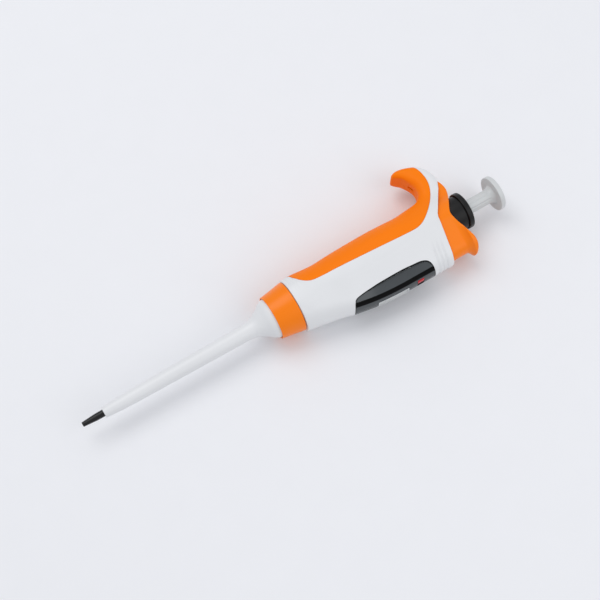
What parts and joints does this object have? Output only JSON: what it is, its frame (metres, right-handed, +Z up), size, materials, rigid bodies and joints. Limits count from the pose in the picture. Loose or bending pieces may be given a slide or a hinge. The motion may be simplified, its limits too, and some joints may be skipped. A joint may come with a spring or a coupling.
{
  "type": "adjustable micropipette",
  "caption": "Single-channel adjustable air-displacement micropipette lying on its side, with finger hook, volume dial with drum counter, push button and sprung tip ejector.",
  "frame": {"origin": "centre of the footprint, at the height of the surface that the pipette lies on with its side flat down", "axes": "+X from the tip cone to the push button, along the pipette's axis; +Y from the volume window to the finger hook; +Z up, out of the pipette's other side"},
  "size_m": [0.24, 0.0586, 0.0274],
  "materials": {
    "shell_white": "satin",
    "grip_orange": "satin soft touch",
    "trim_orange": "satin",
    "nozzle_black": "satin",
    "knob_black": "fine texture",
    "button_grey": "satin",
    "window_dark": "polished",
    "mask_light": "satin",
    "lock_red": "polished",
    "frame_grey": "moulded",
    "bearing_brass": "machined",
    "steel": "ground",
    "gear_white": "moulded",
    "seal_white": "machined",
    "seal_black": "moulded"
  },
  "bodies": {
    "handle": {"handle_shell": "shell_white", "hand_grip": "grip_orange", "handle_collar": "trim_orange", "window_cover": "window_dark", "counter_mask": "mask_light", "mechanism_chassis": "frame_grey", "volume_nut": "bearing_brass", "dial_bearing": "bearing_brass", "counter_axle": "steel", "pinion_axle": "steel", "counter_spacer": "gear_white", "shaft_nut": "frame_grey", "nozzle_shaft": "nozzle_black", "piston_seal": "seal_white", "seal_o_ring": "seal_black", "seal_retainer": "frame_grey", "piston_spring": "steel", "blowout_spring": "steel", "ejector_spring": "steel"},
    "dial": {"volume_knob": "knob_black", "dial_sleeve": "frame_grey", "dial_gear": "gear_white"},
    "volume_screw": {"volume_screw": "steel"},
    "plunger": {"push_button": "button_grey", "plunger_stem": "button_grey", "plunger_rod": "steel", "stop_collar": "steel", "piston": "steel"},
    "blowout": {"blowout_washer": "steel"},
    "ejector": {"ejector_sleeve": "shell_white", "ejector_carrier": "shell_white", "ejector_rod": "steel", "ejector_clip": "steel", "ejector_button": "trim_orange"},
    "tenths_drum": {"drum_tenths": "gear_white", "counter_gear": "gear_white"},
    "units_drum": {"drum_units": "gear_white"},
    "tens_drum": {"drum_tens": "gear_white"},
    "upper_pinion": {"upper_carry_pinion": "gear_white"},
    "lower_pinion": {"lower_carry_pinion": "gear_white"},
    "lock": {"lock_tab": "lock_red"}
  },
  "joints": [
    {"name": "dial_turn", "type": "hinge", "parent": "handle", "child": "dial", "pos_m": [0.094, -0.0049, 0.0137], "axis": [1, 0, 0], "range_deg": [-3420, 0]},
    {"name": "volume_travel", "type": "slide", "parent": "dial", "child": "volume_screw", "axis": [1, 0, 0], "range_m": [-0.0048, 0.00002]},
    {"name": "plunger_press", "type": "slide", "parent": "volume_screw", "child": "plunger", "axis": [-1, 0, 0], "range_m": [0, 0.008], "stiffness_N_per_m": 350, "springref_m": -0.004, "deforming": ["piston_spring"]},
    {"name": "blowout_travel", "type": "slide", "parent": "handle", "child": "blowout", "axis": [-1, 0, 0], "range_m": [0, 0.0031], "deforming": ["blowout_spring"]},
    {"name": "ejector_press", "type": "slide", "parent": "handle", "child": "ejector", "axis": [-1, 0, 0], "range_m": [0, 0.006], "stiffness_N_per_m": 500, "springref_m": -0.004, "deforming": ["ejector_spring"]},
    {"name": "tenths_turn", "type": "hinge", "parent": "handle", "child": "tenths_drum", "pos_m": [0.052, -0.0179, 0.0137], "axis": [1, 0, 0], "range_deg": [-1, 3421]},
    {"name": "units_turn", "type": "hinge", "parent": "handle", "child": "units_drum", "pos_m": [0.046, -0.0179, 0.0137], "axis": [1, 0, 0], "range_deg": [-1, 343]},
    {"name": "tens_turn", "type": "hinge", "parent": "handle", "child": "tens_drum", "pos_m": [0.04, -0.0179, 0.0137], "axis": [1, 0, 0], "range_deg": [-1, 35.2]},
    {"name": "upper_pinion_turn", "type": "hinge", "parent": "handle", "child": "upper_pinion", "pos_m": [0.049, -0.01295, 0.01865], "axis": [1, 0, 0], "range_deg": [-856, 1]},
    {"name": "lower_pinion_turn", "type": "hinge", "parent": "handle", "child": "lower_pinion", "pos_m": [0.043, -0.01295, 0.01865], "axis": [1, 0, 0], "range_deg": [-86.5, 1]},
    {"name": "lock_slide", "type": "slide", "parent": "handle", "child": "lock", "axis": [0, 0, -1], "range_m": [0, 0.003]}
  ],
  "couplings": [
    {"joint": "volume_travel", "follows": "dial_turn", "m_per_rad": 0.000079577},
    {"joint": "tenths_turn", "follows": "dial_turn", "ratio": -1},
    {"joint": "units_turn", "follows": "dial_turn", "ratio": -0.1},
    {"joint": "tens_turn", "follows": "dial_turn", "ratio": -0.01},
    {"joint": "upper_pinion_turn", "follows": "dial_turn", "ratio": 0.25},
    {"joint": "lower_pinion_turn", "follows": "dial_turn", "ratio": 0.025},
    {"joint": "blowout_travel", "follows": "plunger_press", "ratio": 0.375}
  ]
}
